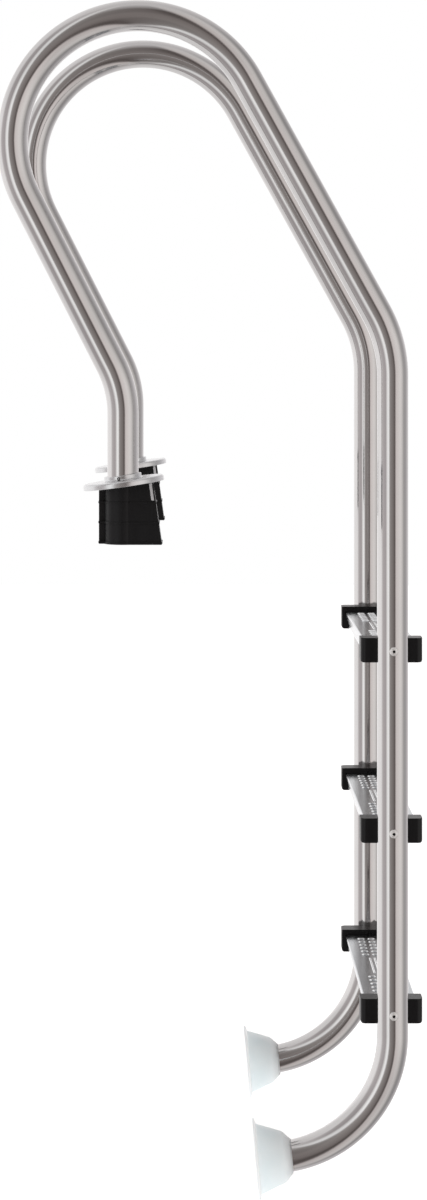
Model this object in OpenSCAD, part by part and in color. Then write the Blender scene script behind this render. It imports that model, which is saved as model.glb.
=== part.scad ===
// Pool ladder: two bent stainless rails, three treads, deck sockets with wedge clamps.
// +X points from the deck over the water, +Y to the right-hand rail, +Z up.
// The origin lies on the deck surface, midway between the two socket axes.

/* [Layout] */
// Distance between the axes of the two rails
rail_spacing = 500; // [400:10:620]
// Horizontal distance from a socket's axis to the axis of the upright
reach = 372; // [330:1:460]
// Height of the highest point of the handrail above the deck
grab_height = 677; // [600:1:820]
// Depth of the first tread's bolts below the deck
first_tread_drop = 219; // [180:1:280]
// Vertical distance from one tread to the next
tread_pitch = 250; // [200:5:310]
// Straight upright below the bolts of the lowest tread
upright_tail = 30; // [24:1:80]

/* [Rails] */
// Outer diameter of the rail tube
tube_d = 43; // [35:0.5:52]
// Wall of the rail tube
tube_wall = 1.5; // [1.2:0.1:2.5]
// Height above the deck at which the riser starts to bend back
heel_height = 106; // [95:1:140]
// Centreline radius of the bend above the riser
heel_r = 150; // [110:1:190]
// Lean of the landward limb from the vertical
land_lean = 27; // [18:1:34]
// Centreline radius of the handrail's top bend
grab_r = 173; // [140:1:205]
// Lean of the pool-side limb from the vertical
pool_lean = 29; // [22:1:36]
// Centreline radius of the bend into the upright
knee_r = 180; // [140:1:220]
// Centreline radius of the bend towards the pool wall
foot_r = 170; // [135:1:205]
// Angle by which the wall end of the rail droops
foot_droop = 5; // [2:0.5:10]
// Straight tube after the last bend
foot_stub = 22.5; // [18:0.5:30]

/* [Treads] */
// Width of a tread's top face
tread_w = 75; // [62:0.5:92]
// Height of a tread's skirts
tread_h = 26; // [22:0.5:32]
// Lean of the skirts from the vertical
skirt_lean = 13; // [4:1:16]
// Thickness of the tread sheet
tread_sheet = 1.2; // [1:0.1:2]
// Width of the hem turned in under each skirt
hem_w = 6; // [4:0.5:9]
// Width of the tab that is bent down at each end
tab_w = 40; // [24:1:48]
// Length of the tab below its bolt
tab_below = 11.5; // [8:0.5:14]
// Height of a pressed anti-slip rib above the tread
rib_h = 1.5; // [0.8:0.1:2.2]
// Radius of a pressed rib's rounded top
rib_r = 4; // [3:0.1:5]
// Length of a pressed rib
rib_len = 11; // [8:0.5:14]
// Distance from one row of ribs to the next
rib_pitch = 21; // [16:0.5:26]
// Rows of ribs in the zone at each end of a tread
rib_rows = 6; // [3:1:6]
// Distance between the columns of ribs
rib_column_pitch = 15.5; // [15:0.5:19]
// Number of narrow ribs along the middle of a tread
grip_ribs = 4; // [2:1:5]
// Distance between the narrow ribs
grip_pitch = 7; // [5:0.5:9]
// Length of the narrow ribs
grip_len = 96; // [60:2:108]
// Height of the narrow ribs above the tread
grip_h = 0.8; // [0.5:0.1:1.2]
// Radius of a narrow rib's rounded top
grip_r = 1.8; // [1.4:0.1:2.4]

/* [Tread caps] */
// Rim of the cap beside the tread's top face
cap_side = 5.5; // [4:0.5:9]
// Rim of the cap above the tread's top face
cap_above = 8; // [5:0.5:11]
// Distance of the cap's bottom face below the tread's skirts
cap_below = 0; // [0:0.5:3]
// Overlap of the cap on the tread's end
cap_overlap = 20; // [14:0.5:30]
// Wall between the rail and the tread's end
cap_web = 6; // [4:0.5:10]
// Depth to which the cap reaches around the rail
saddle_depth = 5; // [3:0.5:8]
// Radius of the cap's upright edges beside the rail
cap_edge_r = 8; // [4:0.5:12]
// Radius of the cap's lower corners
cap_corner_r = 4; // [2:0.5:5]
// Width of the locating tooth on the cap's lip
tooth_w = 4; // [3:0.5:8]
// Length of the locating tooth beyond the lip
tooth_len = 7; // [4:0.5:10]
// Height of the locating tooth
tooth_h = 2.5; // [1.5:0.5:5]

/* [Tread fasteners] */
// Thread diameter of the tread bolts
bolt_d = 6; // [5:1:8]
// Distance from a tread's top face down to its bolts
bolt_drop = 6.5; // [6.2:0.1:9]
// Thread that stands out beyond the nut
bolt_end = 3.6; // [2:0.1:6]
// Diameter of the bolt's button head
bolt_head_d = 12; // [10:0.5:15]
// Height of the bolt's button head
bolt_head_h = 3.4; // [2.8:0.1:4.5]
// Hexagon socket of the bolt, across the flats
bolt_key = 4; // [3:0.5:5]
// Nut, across the flats
nut_af = 10; // [8:0.5:10]
// Height of the nut
nut_h = 5; // [4:0.5:6]
// Outer diameter of the washer
washer_d = 10.5; // [9:0.1:11]
// Thickness of the washer
washer_t = 1.2; // [0.8:0.1:1.6]

/* [Deck anchors] */
// Height of the anchor below the deck
anchor_h = 72.5; // [62:0.5:95]
// Floor under the end of the tube
anchor_floor = 6.5; // [4:0.5:10]
// Wall of the sleeve around the tube
sleeve_wall = 3.6; // [3:0.1:6]
// Distance from the tube to the edge of the keying fin
fin_out = 11.5; // [8:0.5:20]
// Thickness of the keying fin
fin_t = 8; // [5:0.5:12]
// Width of the wedge housing
housing_w = 48; // [42:0.5:50]
// Distance from the tube to the housing's pool side at the deck
housing_out = 22.1; // [20.5:0.1:34]
// Slope of the housing's pool side from the vertical
housing_slope = 8; // [6:0.5:10]
// Wall of the wedge housing
housing_wall = 3.6; // [3:0.1:5]
// Roof over the wedge
roof_t = 6; // [4:0.5:9]
// Gap between the anchor's sloping top and the plane of the flange's edge
anchor_top_gap = 1; // [0.5:0.1:2]
// Ribs around the anchor
anchor_ribs = 3; // [2:1:4]
// Height of a rib around the anchor
anchor_rib_h = 2.4; // [1.5:0.1:4]
// Depth of the first rib's middle below the deck
anchor_rib_drop = 15; // [14.5:0.5:18]
// Distance by which the ribs stand out
anchor_rib_out = 1.2; // [0.6:0.1:2.5]

/* [Wedge clamps] */
// Distance from the tube to the axis of the clamp bolt
clamp_bolt_out = 11; // [10:0.1:12.5]
// Thread diameter of the clamp bolt
clamp_bolt_d = 8; // [6:1:8]
// Length of the clamp bolt under the head
clamp_bolt_len = 60; // [50:1:65]
// Hexagon head of the clamp bolt, across the flats
clamp_head_af = 13; // [10:0.5:13]
// Height of the clamp bolt's head
clamp_head_h = 5.3; // [4:0.1:6]
// Outer diameter of the clamp washer
clamp_washer_d = 16; // [14:0.5:16]
// Thickness of the clamp washer
clamp_washer_t = 1.6; // [1:0.1:2]
// Height of the wedge
wedge_h = 34; // [24:1:38]
// Width of the wedge
wedge_w = 26; // [20:0.5:30]
// Rise of the wedge from loose to tight
wedge_travel = 6; // [3:0.5:7]
// Distance from the roof down to the loose wedge
wedge_drop = 14; // [9:0.5:18]
// Thickness of the clamp plate
plate_t = 2; // [1.5:0.1:3]
// Gap between the tube and the edge of the clamp plate
plate_gap = 1.35; // [0.8:0.05:3]
// Width of the two legs that hook over the housing
leg_w = 3.7; // [3:0.1:8]
// Gap between the clamp plate and the housing's cheeks
cheek_gap = 0.3; // [0.2:0.05:0.6]
// Length of the legs below the deck
leg_len = 11.5; // [6:0.5:12]
// Distance from the plate's pool edge to the legs
leg_inset = 1; // [0.5:0.1:4]

/* [Cover flanges] */
// Diameter of the cover flange
flange_d = 112; // [100:1:140]
// Height of the flange's outer skirt
skirt_h = 8; // [7:0.5:10]
// Rise of the shallow cone from the skirt to the collar
dish_rise = 0.5; // [0.5:0.5:3]
// Sheet thickness of the flange
flange_sheet = 1.5; // [1:0.1:2.5]
// Wall of the collar around the tube
collar_wall = 3.3; // [2.5:0.1:5]
// Height of the collar above the cone
collar_h = 6; // [5:0.5:9]
// Tilt at which the flange sits on the tube
flange_tilt = 8; // [5:0.5:9]
// Gap between the flange's lowest edge and the deck
flange_lift = 0.3; // [0.1:0.1:3]
// Thread diameter of the flange's set screw
set_screw_d = 4; // [3:0.5:4.5]
// Height of the set screw's axis above the cone
set_screw_up = 2.4; // [2.3:0.1:3]
// Length by which the set screw stands out of the collar
set_screw_proud = 1; // [0.5:0.1:2]
// Angle of the set screw from straight outwards, towards the deck
set_screw_turn = 12; // [0:1:40]

/* [Wall feet] */
// Diameter of the foot's lip on the pool wall
foot_d = 110; // [96:1:132]
// Length of the foot
foot_len = 51; // [46:0.5:62]
// Thickness of the lip
lip_t = 5; // [3:0.5:8]
// Diameter of the foot's cone at the lip
cone_base_d = 93; // [84:0.5:94]
// Wall of the foot at its shoulder
shoulder_wall = 12.5; // [8:0.5:16]
// Distance from the wall to the shoulder
shoulder_at = 37; // [32:0.5:40]
// Wall of the foot at its mouth
mouth_wall = 2; // [1.5:0.1:4]
// Solid rubber between the tube's end and the wall
foot_web = 12; // [8:0.5:16]

/* [Clearances] */
// Gap all round the tube in its deck socket
socket_gap = 0.35; // [0.3:0.05:0.8]
// Smallest gap between the tube and a part that slides on it
slide_gap = 0.35; // [0.3:0.05:0.6]
// Gap around a bolt in a plain hole
bolt_gap = 0.3; // [0.2:0.05:0.6]
// Radial gap of a bolt in its thread
thread_gap = 0.05; // [0.02:0.01:0.08]
// Gap between a tread and its cap
cap_gap = 0.2; // [0.1:0.05:0.4]
// Gap between the rail and a cap's saddle
saddle_gap = 0.2; // [0.1:0.05:0.5]
// Gap around the tube in the wall foot
foot_gap = 0.1; // [0.05:0.05:0.3]
// Gap left beside the wedge when it is tight
wedge_gap = 0.35; // [0.3:0.05:0.8]

/* [Hidden] */

$fn = 64;
left = -1;
right = 1;
steel = [0.80, 0.79, 0.78];
black_plastic = [0.07, 0.07, 0.08];
foot_rubber = [0.85, 0.89, 0.90];
// Length by which a cutting shape runs past the face it cuts
past = 1;
// Thickening of the tube's wall on both faces where it is bent
bend_swell = 0.1;
// Length by which a straight tube is let into the thicker wall of a bend
bend_seat = 0.8;

// The rail's centreline, as [x, z] points. A heading is the angle from +X towards +Z,
// and a turn is 1 to the left of the way from the socket to the wall foot, -1 to the right.
tube_r = tube_d / 2;
tube_insert = anchor_h - anchor_floor;
up = 90;
down = -90;
land_heading = up + land_lean;
pool_heading = down + pool_lean;
foot_heading = foot_droop - 180;

function along(p, heading, d) = p + d * [cos(heading), sin(heading)];
function bend_centre(p, heading, r, turn) = p + turn * r * [-sin(heading), cos(heading)];
function on_bend(c, heading, r, turn) = bend_centre(c, heading, r, -turn);

heel_in = [0, heel_height];
heel_c = bend_centre(heel_in, up, heel_r, 1);
heel_out = on_bend(heel_c, land_heading, heel_r, 1);
grab_c_z = grab_height - tube_r - grab_r;
land_len = (grab_c_z - grab_r * sin(land_lean) - heel_out.y) / cos(land_lean);
grab_in = along(heel_out, land_heading, land_len);
grab_c = bend_centre(grab_in, land_heading, grab_r, -1);
grab_out = on_bend(grab_c, pool_heading, grab_r, -1);
pool_len = (reach - knee_r * (1 - cos(pool_lean)) - grab_out.x) / sin(pool_lean);
knee_in = along(grab_out, pool_heading, pool_len);
knee_c = bend_centre(knee_in, pool_heading, knee_r, -1);
knee_out = on_bend(knee_c, down, knee_r, -1);
tread_levels = [for (i = [0:2]) -first_tread_drop - i * tread_pitch];
foot_in = [reach, tread_levels[2] - upright_tail];
foot_c = bend_centre(foot_in, down, foot_r, -1);
foot_out = on_bend(foot_c, foot_heading, foot_r, -1);
tube_end = along(foot_out, foot_heading, foot_stub);
foot_face = along(tube_end, foot_heading, foot_web);

// Treads and caps, measured from a tread's bolt axis
rail_y = rail_spacing / 2;
bolt_hole_r = bolt_d / 2 + bolt_gap;
tread_top_z = bolt_drop;
tread_end_y = rail_y - tube_r - cap_web;
tread_half_bottom = tread_w / 2 - tread_h * tan(skirt_lean);
skirt_run = tread_sheet / cos(skirt_lean);
tab_end = min(tread_h, bolt_drop + tab_below);
bolt_len = tube_d + cap_web + tread_sheet + washer_t + nut_h + bolt_end;
cap_w = tread_w + 2 * cap_side;
cap_top_z = tread_top_z + cap_above;
cap_bottom_z = tread_top_z - tread_h - cap_below;
cap_h = cap_top_z - cap_bottom_z;
cap_outer_y = rail_y - tube_r + saddle_depth;
cap_inner_y = tread_end_y - cap_overlap;
rib_first_y = cap_inner_y - tooth_len - rib_pitch;

// Height above the deck of the plane of the cover flange's edge
flange_r = flange_d / 2;
function flange_plane(x) =
    flange_lift + (x + flange_r * cos(flange_tilt)) * tan(flange_tilt);

// Anchors and clamps, measured from a socket's axis at the deck
socket_r = tube_r + socket_gap;
sleeve_r = socket_r + sleeve_wall;
fin_reach = tube_r + fin_out;
slope_run = tan(housing_slope);
housing_reach = tube_r + housing_out;
housing_inner = housing_reach - housing_wall / cos(housing_slope);
wedge_root = tube_r / 2;
wedge_top = -roof_t - wedge_drop;
wedge_foot = wedge_top - wedge_h;
wedge_inset = wedge_gap / cos(housing_slope) + wedge_travel * slope_run;
rib_step = (anchor_h - anchor_rib_drop - anchor_rib_h) / (anchor_ribs - 1);
clamp_bolt_x = tube_r + clamp_bolt_out;
clamp_hole_r = clamp_bolt_d / 2 + bolt_gap;
plate_x0 = tube_r + plate_gap;
clamp_seat = plate_t + clamp_washer_t;
plate_x1 = max(housing_reach - leg_inset, clamp_bolt_x + clamp_washer_d / 2);
recess_half = housing_w / 2 - housing_wall;
plate_half = recess_half - cheek_gap;
leg_x1 = plate_x1 - leg_inset;
leg_x0 = leg_x1 - leg_w;
crown = flange_lift + flange_d * sin(flange_tilt);
arm_high = flange_plane(leg_x0) - anchor_top_gap - plate_t / 2;
arm_low = arm_high - plate_t;

// Cover flange, measured from the middle of its lowest plane
collar_z = skirt_h + dish_rise;
collar_top = collar_z + collar_h;
bore_foot = collar_z - flange_sheet;
bore_len = collar_top - bore_foot;
flange_bore_r = (tube_r + slide_gap + bore_len / 2 * sin(flange_tilt)) / cos(flange_tilt);
collar_r = flange_bore_r + collar_wall;
pivot_h = (collar_top + bore_foot) / 2;
pivot_z = flange_lift + flange_r * sin(flange_tilt) + pivot_h * cos(flange_tilt);
screw_z = collar_z + set_screw_up;
screw_in = tube_r + slide_gap + pivot_h * sin(flange_tilt) / 2;

module at_rail(side) {
    translate([0, side * rail_y, 0]) mirror([0, side == left ? 0 : 1, 0]) children();
}

// Straight tube from a point on the centreline along a heading, with its ends let into
// the walls of the bends before and after it
module tube_run(p, heading, len, before = bend_seat, after = bend_seat) {
    start = along(p, heading, -before);
    translate([start.x, 0, start.y]) rotate([0, 90 - heading, 0])
        linear_extrude(before + len + after) difference() {
            circle(tube_r);
            circle(tube_r - tube_wall);
        }
}

// Bent tube around a centre, from one heading through a sweep
module tube_bend(c, heading, sweep, r, turn) {
    start = turn > 0 ? heading - 90 : heading - sweep + 90;
    translate([c.x, 0, c.y]) rotate([90, 0, 0]) rotate([0, 0, start])
        rotate_extrude(angle = sweep) translate([r, 0]) difference() {
            circle(tube_r + bend_swell);
            circle(tube_r - tube_wall - bend_swell);
        }
}

module rail(side) {
    color(steel) at_rail(side) difference() {
        union() {
            tube_run([0, -tube_insert], up, tube_insert + heel_height, before = 0);
            tube_bend(heel_c, up, land_lean, heel_r, 1);
            tube_run(heel_out, land_heading, land_len);
            tube_bend(grab_c, land_heading, land_heading - pool_heading, grab_r, -1);
            tube_run(grab_out, pool_heading, pool_len);
            tube_bend(knee_c, pool_heading, pool_lean, knee_r, -1);
            tube_run(knee_out, down, knee_out.y - foot_in.y);
            tube_bend(foot_c, down, down - foot_heading, foot_r, -1);
            tube_run(foot_out, foot_heading, foot_stub, after = 0);
        }
        for (z = tread_levels)
            translate([reach, 0, z]) rotate([90, 0, 0])
                cylinder(h = tube_d + 2 * past, r = bolt_hole_r, center = true);
    }
}

// Cross-section of a tread's outside, grown by a gap and carried down to a depth
module tread_outline(gap, depth) {
    top = tread_w / 2 + gap;
    bottom = top - depth * tan(skirt_lean);
    polygon([[-top, gap], [top, gap], [bottom, gap - depth], [-bottom, gap - depth]]);
}

// Extrudes a cross-section that is drawn in X and Z along Y, from y0 to y1
module along_y(y0, y1) {
    translate([0, y1, 0]) rotate([90, 0, 0]) linear_extrude(y1 - y0) children();
}

module tread_channel() {
    inner_top = tread_w / 2 - skirt_run;
    inner_bottom = tread_half_bottom - skirt_run;
    hem_in = inner_bottom - hem_w;
    along_y(-tread_end_y, tread_end_y) difference() {
        tread_outline(0, tread_h);
        polygon([
            [-inner_top, -tread_sheet], [inner_top, -tread_sheet],
            [inner_bottom, tread_sheet - tread_h], [hem_in, tread_sheet - tread_h],
            [hem_in, -tread_h - past], [-hem_in, -tread_h - past],
            [-hem_in, tread_sheet - tread_h], [-inner_bottom, tread_sheet - tread_h]]);
    }
}

// Tab bent down at the right-hand end of a tread, with its bolt hole
module tread_tab() {
    difference() {
        translate([-tab_w / 2, tread_end_y - tread_sheet, -tab_end])
            cube([tab_w, tread_sheet, tab_end - tread_sheet / 2]);
        translate([0, tread_end_y, -bolt_drop]) rotate([90, 0, 0])
            cylinder(h = 4 * tread_sheet, r = bolt_hole_r, center = true);
    }
}

// Pressed anti-slip ribs across the right-hand half of a tread
module tread_ribs() {
    for (row = [0:rib_rows - 1], column = [-1:1])
        translate([column * rib_column_pitch, rib_first_y - row * rib_pitch, rib_h - rib_r])
            rotate([0, 90, 0]) cylinder(h = rib_len, r = rib_r, center = true);
}

// Narrow ribs along the middle of a tread
module tread_grip() {
    for (i = [0:grip_ribs - 1])
        translate([(i - (grip_ribs - 1) / 2) * grip_pitch, 0, grip_h - grip_r])
            rotate([90, 0, 0]) cylinder(h = grip_len, r = grip_r, center = true);
}

module tread(level) {
    color(steel) translate([reach, 0, level + tread_top_z]) {
        tread_channel();
        tread_grip();
        for (flip = [0, 1]) mirror([0, flip, 0]) {
            tread_tab();
            tread_ribs();
        }
    }
}

// Cross-section of a cap in X and Z, with rounded lower corners
module cap_outline() {
    half = cap_w / 2;
    translate([-half, cap_bottom_z + cap_corner_r]) square([cap_w, cap_h - cap_corner_r]);
    translate([cap_corner_r - half, cap_bottom_z])
        square([cap_w - 2 * cap_corner_r, cap_corner_r + past]);
    for (s = [-1, 1])
        translate([s * (half - cap_corner_r), cap_bottom_z + cap_corner_r]) circle(cap_corner_r);
}

// Plan of a cap in X and Y, with rounded corners beside the rail
module cap_plan() {
    half = cap_w / 2;
    translate([-half, cap_inner_y]) square([cap_w, cap_outer_y - cap_inner_y - cap_edge_r]);
    translate([cap_edge_r - half, cap_inner_y])
        square([cap_w - 2 * cap_edge_r, cap_outer_y - cap_inner_y]);
    for (s = [-1, 1])
        translate([s * (half - cap_edge_r), cap_outer_y - cap_edge_r]) circle(cap_edge_r);
}

// The cap at the right-hand end of a tread; the left-hand one is its mirror image
module tread_cap(level, side) {
    color(black_plastic) translate([reach, 0, level]) mirror([0, side == left ? 1 : 0, 0]) {
        difference() {
            intersection() {
                along_y(cap_inner_y, cap_outer_y) cap_outline();
                translate([0, 0, cap_bottom_z]) linear_extrude(cap_h) cap_plan();
            }
            translate([0, 0, tread_top_z])
                along_y(cap_inner_y - past, tread_end_y + cap_gap)
                    tread_outline(cap_gap, tread_h + cap_below + 2 * past);
            translate([0, rail_y, cap_bottom_z - past])
                cylinder(h = cap_h + 2 * past, r = tube_r + saddle_gap);
            translate([0, rail_y - tube_r, 0]) rotate([90, 0, 0])
                cylinder(h = 4 * cap_web, r = bolt_hole_r, center = true);
        }
        translate([-tooth_w / 2, cap_inner_y - tooth_len, tread_top_z + cap_gap])
            cube([tooth_w, tooth_len + past, tooth_h]);
    }
}

// Places one fastener at each end of each tread, its +Z along the bolt towards the head,
// starting at a distance from the middle of the tread
module at_tread_bolts(y) {
    for (z = tread_levels, side = [left, right])
        translate([reach, side * y, z]) rotate([-side * 90, 0, 0]) children();
}

module tread_bolts() {
    crown_r = bolt_head_d / 3;
    brim = bolt_head_h / 3;
    color(steel) at_tread_bolts(rail_y + tube_r) difference() {
        union() {
            translate([0, 0, -bolt_len]) cylinder(h = bolt_len, r = bolt_d / 2);
            cylinder(h = brim, r = bolt_head_d / 2);
            translate([0, 0, brim])
                cylinder(h = bolt_head_h - brim, r1 = bolt_head_d / 2, r2 = crown_r);
        }
        translate([0, 0, brim])
            cylinder(h = bolt_head_h, r = bolt_key / 2 / cos(30), $fn = 6);
    }
}

module tread_washers() {
    color(steel) at_tread_bolts(tread_end_y - tread_sheet - washer_t) difference() {
        cylinder(h = washer_t, r = washer_d / 2);
        translate([0, 0, -past]) cylinder(h = washer_t + 2 * past, r = bolt_hole_r);
    }
}

module tread_nuts() {
    color(steel) at_tread_bolts(tread_end_y - tread_sheet - washer_t - nut_h) difference() {
        cylinder(h = nut_h, r = nut_af / 2 / cos(30), $fn = 6);
        translate([0, 0, -past]) cylinder(h = nut_h + 2 * past, r = bolt_d / 2 + thread_gap);
    }
}

module wall_foot(side) {
    fitted_r = tube_r + bend_swell + foot_gap;
    mouth_r = fitted_r + pow(foot_len - foot_web - foot_stub, 2) / foot_r / 2;
    color(foot_rubber) at_rail(side) translate([foot_face.x, 0, foot_face.y])
        rotate([0, -90 - foot_heading, 0]) rotate_extrude() polygon([
            [0, 0], [foot_d / 2, 0], [foot_d / 2, lip_t * 0.4], [cone_base_d / 2, lip_t],
            [tube_r + shoulder_wall, shoulder_at], [mouth_r + mouth_wall, foot_len],
            [mouth_r, foot_len], [fitted_r, foot_web + foot_stub],
            [fitted_r, foot_web], [0, foot_web]]);
}

// Wedge housing's outline in X and Z, out to its sloping pool side
module housing_outline(x0, top_x, z1, z0) {
    polygon([[x0, z1], [top_x - z1 * slope_run, z1], [top_x - z0 * slope_run, z0], [x0, z0]]);
}

module anchor_shell() {
    translate([0, 0, -anchor_h]) cylinder(h = anchor_h + crown, r = sleeve_r);
    along_y(-housing_w / 2, housing_w / 2)
        housing_outline(0, housing_reach, crown, -anchor_h);
    translate([-fin_reach, -fin_t / 2, -anchor_h])
        cube([fin_reach - tube_r - socket_gap, fin_t, anchor_h + crown]);
}

// Everything above the anchor's top, which slopes with the flange
module above_anchor() {
    translate([0, 0, flange_plane(0) - anchor_top_gap]) rotate([0, -flange_tilt, 0])
        translate([-flange_d, -flange_d / 2, 0]) cube([2 * flange_d, flange_d, flange_d]);
}

// Outline in X and Z of a leg of the clamp plate, which leans with the housing
module leg_outline(z1, z0, grow = 0) {
    polygon([
        [leg_x0 - grow - z1 * slope_run, z1], [leg_x1 + grow - z1 * slope_run, z1],
        [leg_x1 + grow - z0 * slope_run, z0], [leg_x0 - grow - z0 * slope_run, z0]]);
}

// Room for the clamp plate and the bolt's head between the cheeks of the housing, and the
// notches in the cheeks for the plate's arms
module clamp_recess() {
    translate([tube_r, -recess_half, 0])
        cube([housing_reach, 2 * recess_half, crown + past]);
    along_y(-housing_w / 2 - past, housing_w / 2 + past)
        leg_outline(crown + past, arm_low, cheek_gap);
}

module anchor_rib(z) {
    rib_w = housing_w + 2 * anchor_rib_out;
    rib_x = housing_reach - z * slope_run + anchor_rib_out;
    translate([0, 0, z - anchor_rib_h / 2]) {
        cylinder(h = anchor_rib_h, r = sleeve_r + anchor_rib_out);
        translate([0, -rib_w / 2, 0]) cube([rib_x, rib_w, anchor_rib_h]);
        translate([-fin_reach - anchor_rib_out / 2, -fin_t, 0])
            cube([fin_reach, 2 * fin_t, anchor_rib_h]);
    }
}

// The pocket is open to the tube's bore above the tube's end, and open below beside the
// floor that the tube stands on
module wedge_pocket() {
    half_w = wedge_w / 2 + wedge_gap;
    along_y(-half_w, half_w)
        housing_outline(wedge_root, housing_inner, -roof_t, -tube_insert);
    along_y(-half_w, half_w)
        housing_outline(sleeve_r, housing_inner, past - tube_insert, -anchor_h - past);
}

module deck_anchor(side) {
    color(black_plastic) at_rail(side) difference() {
        union() {
            anchor_shell();
            for (i = [0:anchor_ribs - 1])
                anchor_rib(-anchor_rib_drop - i * rib_step);
        }
        translate([0, 0, -tube_insert])
            cylinder(h = tube_insert + crown + past, r = socket_r);
        above_anchor();
        clamp_recess();
        wedge_pocket();
        translate([clamp_bolt_x, 0, -roof_t - past])
            cylinder(h = roof_t + 2 * past, r = clamp_hole_r);
    }
}

module clamp_plate(side) {
    half_w = housing_w / 2;
    color(steel) at_rail(side) {
        difference() {
            translate([plate_x0, -plate_half, 0])
                cube([plate_x1 - plate_x0, 2 * plate_half, plate_t]);
            translate([clamp_bolt_x, 0, -past])
                cylinder(h = plate_t + 2 * past, r = clamp_hole_r);
        }
        for (flip = [0, 1]) mirror([0, flip, 0]) {
            along_y(plate_half - plate_t, plate_half) leg_outline(arm_high, plate_t / 2);
            along_y(plate_half - plate_t, half_w + plate_t) leg_outline(arm_high, arm_low);
            along_y(half_w, half_w + plate_t) leg_outline(arm_high, -leg_len);
        }
    }
}

module clamp_washer(side) {
    color(steel) at_rail(side) translate([clamp_bolt_x, 0, plate_t]) difference() {
        cylinder(h = clamp_washer_t, r = clamp_washer_d / 2);
        translate([0, 0, -past]) cylinder(h = clamp_washer_t + 2 * past, r = clamp_hole_r);
    }
}

module clamp_bolt(side) {
    color(steel) at_rail(side) translate([clamp_bolt_x, 0, clamp_seat]) {
        translate([0, 0, -clamp_bolt_len]) cylinder(h = clamp_bolt_len, r = clamp_bolt_d / 2);
        cylinder(h = clamp_head_h, r = clamp_head_af / 2 / cos(30), $fn = 6);
    }
}

module clamp_wedge(side) {
    color(steel) at_rail(side) difference() {
        along_y(-wedge_w / 2, wedge_w / 2)
            housing_outline(wedge_root, housing_inner - wedge_inset, wedge_top, wedge_foot);
        translate([0, 0, wedge_foot - past])
            cylinder(h = wedge_h + 2 * past, r = tube_r + wedge_gap);
        translate([clamp_bolt_x, 0, wedge_foot - past])
            cylinder(h = wedge_h + 2 * past, r = clamp_bolt_d / 2 + thread_gap);
    }
}

// Tips the flange about the middle of its bore, with its pool side up
module tipped(side) {
    at_rail(side) translate([0, 0, pivot_z]) rotate([0, -flange_tilt, 0])
        translate([0, 0, -pivot_h]) children();
}

// Points +Z outwards along the set screw
module along_set_screw() {
    translate([0, 0, screw_z]) rotate([0, 0, -90 - set_screw_turn]) rotate([0, 90, 0])
        children();
}

module cover_flange(side) {
    color(steel) tipped(side) difference() {
        rotate_extrude($fn = 96) polygon([
            [flange_r, 0], [flange_r, skirt_h - flange_sheet / 2],
            [flange_r - flange_sheet / 2, skirt_h], [collar_r, collar_z],
            [collar_r, collar_top - collar_wall / 4], [collar_r - collar_wall / 4, collar_top],
            [flange_bore_r, collar_top], [flange_bore_r, bore_foot],
            [collar_r, bore_foot], [flange_r - flange_sheet, skirt_h - flange_sheet],
            [flange_r - flange_sheet, 0]]);
        along_set_screw() translate([0, 0, flange_bore_r - past])
            cylinder(h = collar_wall + 3 * past, r = set_screw_d / 2 + thread_gap);
    }
}

module flange_screw(side) {
    len = collar_r + set_screw_proud - screw_in;
    color(steel) tipped(side) along_set_screw() translate([0, 0, screw_in]) difference() {
        cylinder(h = len, r = set_screw_d / 2);
        translate([0, 0, len / 2]) cylinder(h = len, r = set_screw_d / 4, $fn = 6);
    }
}

rail(left);  // rail_left
rail(right);  // rail_right
tread(tread_levels[0]);  // tread_top
tread(tread_levels[1]);  // tread_middle
tread(tread_levels[2]);  // tread_bottom
tread_cap(tread_levels[0], left);  // tread_cap_top_left
tread_cap(tread_levels[0], right);  // tread_cap_top_right
tread_cap(tread_levels[1], left);  // tread_cap_middle_left
tread_cap(tread_levels[1], right);  // tread_cap_middle_right
tread_cap(tread_levels[2], left);  // tread_cap_bottom_left
tread_cap(tread_levels[2], right);  // tread_cap_bottom_right
tread_bolts();
tread_washers();
tread_nuts();
wall_foot(left);  // wall_foot_left
wall_foot(right);  // wall_foot_right
deck_anchor(left);  // deck_anchor_left
deck_anchor(right);  // deck_anchor_right
clamp_plate(left);  // clamp_plate_left
clamp_plate(right);  // clamp_plate_right
clamp_washer(left);  // clamp_washer_left
clamp_washer(right);  // clamp_washer_right
clamp_bolt(left);  // clamp_bolt_left
clamp_bolt(right);  // clamp_bolt_right
clamp_wedge(left);  // clamp_wedge_left
clamp_wedge(right);  // clamp_wedge_right
cover_flange(left);  // cover_flange_left
cover_flange(right);  // cover_flange_right
flange_screw(left);  // flange_screw_left
flange_screw(right);  // flange_screw_right
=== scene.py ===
"""A pool ladder: polished rails, pressed treads in black caps, deck anchors and wall feet.

Lengths are written in millimetres and turned to metres where a mesh is made. The frame
says where each part lies; +X points over the water, and the origin is on the deck.
"""
from math import ceil, cos, pi, radians, sin, tan

import bmesh
import bpy
from mathutils import Matrix, Vector


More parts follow.
